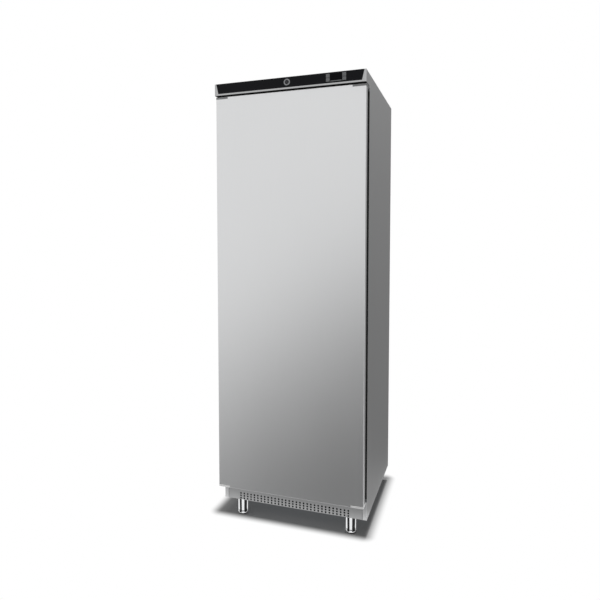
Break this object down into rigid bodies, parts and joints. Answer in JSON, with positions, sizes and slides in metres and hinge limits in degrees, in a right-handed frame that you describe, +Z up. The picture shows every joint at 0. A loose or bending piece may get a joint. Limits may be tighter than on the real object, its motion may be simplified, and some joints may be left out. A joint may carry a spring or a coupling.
{
  "type": "upright freezer",
  "caption": "Tall one-door upright freezer with a flat steel door, key lock and temperature controller above it, wire-and-tube evaporator shelves inside and levelling feet.",
  "frame": {"origin": "on the floor under the middle of the freezer's outer box", "axes": "+X to the right seen from the front, -Y out of the door's face, +Z up"},
  "size_m": [0.6, 0.6, 1.756],
  "materials": {
    "stainless": "satin",
    "galvanised": "matte",
    "frame_grey": "satin",
    "foam": "matte",
    "liner_white": "satin",
    "panel_black": "satin",
    "display_dark": "gloss",
    "key_grey": "satin",
    "cap_grey": "satin",
    "grip_black": "satin",
    "nylon_white": "satin",
    "gasket_black": "matte",
    "mount_rubber": "matte",
    "chrome": "polished",
    "zinc": "satin",
    "wire_white": "satin",
    "compressor_black": "gloss",
    "cover_black": "satin",
    "coil_black": "matte",
    "grille_black": "matte",
    "copper": "satin",
    "fan_aluminium": "satin"
  },
  "bodies": {
    "cabinet": {"side_panel_left": "stainless", "side_panel_right": "stainless", "top_panel": "stainless", "back_panel": "galvanised", "base_pan": "galvanised", "bay_lining": "galvanised", "insulation": "foam", "inner_liner": "liner_white", "front_frame": "frame_grey", "kick_plate": "stainless", "control_housing": "stainless", "control_fascia": "panel_black", "controller_case": "panel_black", "display_window": "display_dark", "lock_body": "chrome", "hinge_bracket_top": "zinc", "hinge_bracket_bottom": "zinc", "hinge_bolts": "zinc", "shelf_1": "wire_white", "shelf_2": "wire_white", "shelf_3": "wire_white", "shelf_4": "wire_white", "shelf_5": "wire_white", "shelf_6": "wire_white", "shelf_risers": "wire_white", "shelf_clips": "nylon_white", "temperature_probe": "zinc", "compressor": "compressor_black", "compressor_mounts": "mount_rubber", "terminal_cover": "cover_black", "condenser": "coil_black", "fan_cowl": "cover_black", "fan_motor": "coil_black", "filter_drier": "copper", "refrigerant_pipes": "copper", "rear_grille": "grille_black", "inlet_plate": "grille_black", "rear_screws": "zinc", "cord_inlet": "cover_black", "foot_sleeves": "chrome"},
    "door": {"door_skin": "stainless", "door_foam": "foam", "door_liner": "liner_white", "door_gasket": "gasket_black", "corner_caps": "cap_grey", "hinge_bushes": "nylon_white", "door_grip": "grip_black", "lock_keeper": "grip_black"},
    "lock": {"lock_plug": "chrome", "lock_cam": "zinc"},
    "fan": {"fan_blade": "fan_aluminium"},
    "key_up": {"key_up": "key_grey"},
    "key_down": {"key_down": "key_grey"},
    "key_power": {"key_power": "key_grey"},
    "key_set": {"key_set": "key_grey"},
    "foot_front_left": {"foot_front_left": "chrome"},
    "foot_front_right": {"foot_front_right": "chrome"},
    "foot_rear_left": {"foot_rear_left": "chrome"},
    "foot_rear_right": {"foot_rear_right": "chrome"}
  },
  "joints": [
    {"name": "door_hinge", "type": "hinge", "parent": "cabinet", "child": "door", "pos_m": [0.284, -0.2665, 0], "axis": [0, 0, 1], "range_deg": [0, 115]},
    {"name": "lock_turn", "type": "hinge", "parent": "cabinet", "child": "lock", "pos_m": [0, -0.274, 1.73705], "axis": [0, 1, 0], "range_deg": [0, 90]},
    {"name": "fan_spin", "type": "hinge", "parent": "cabinet", "child": "fan", "pos_m": [0.14, 0.138, 0.1905], "axis": [0, 1, 0], "continuous": true},
    {"name": "key_up_press", "type": "slide", "parent": "cabinet", "child": "key_up", "axis": [0, 1, 0], "range_m": [0, 0.001], "stiffness_N_per_m": 400},
    {"name": "key_down_press", "type": "slide", "parent": "cabinet", "child": "key_down", "axis": [0, 1, 0], "range_m": [0, 0.001], "stiffness_N_per_m": 400},
    {"name": "key_power_press", "type": "slide", "parent": "cabinet", "child": "key_power", "axis": [0, 1, 0], "range_m": [0, 0.001], "stiffness_N_per_m": 400},
    {"name": "key_set_press", "type": "slide", "parent": "cabinet", "child": "key_set", "axis": [0, 1, 0], "range_m": [0, 0.001], "stiffness_N_per_m": 400},
    {"name": "foot_front_left_adjust", "type": "slide", "parent": "cabinet", "child": "foot_front_left", "axis": [0, 0, -1], "range_m": [0, 0.015]},
    {"name": "foot_front_right_adjust", "type": "slide", "parent": "cabinet", "child": "foot_front_right", "axis": [0, 0, -1], "range_m": [0, 0.015]},
    {"name": "foot_rear_left_adjust", "type": "slide", "parent": "cabinet", "child": "foot_rear_left", "axis": [0, 0, -1], "range_m": [0, 0.015]},
    {"name": "foot_rear_right_adjust", "type": "slide", "parent": "cabinet", "child": "foot_rear_right", "axis": [0, 0, -1], "range_m": [0, 0.015]}
  ]
}
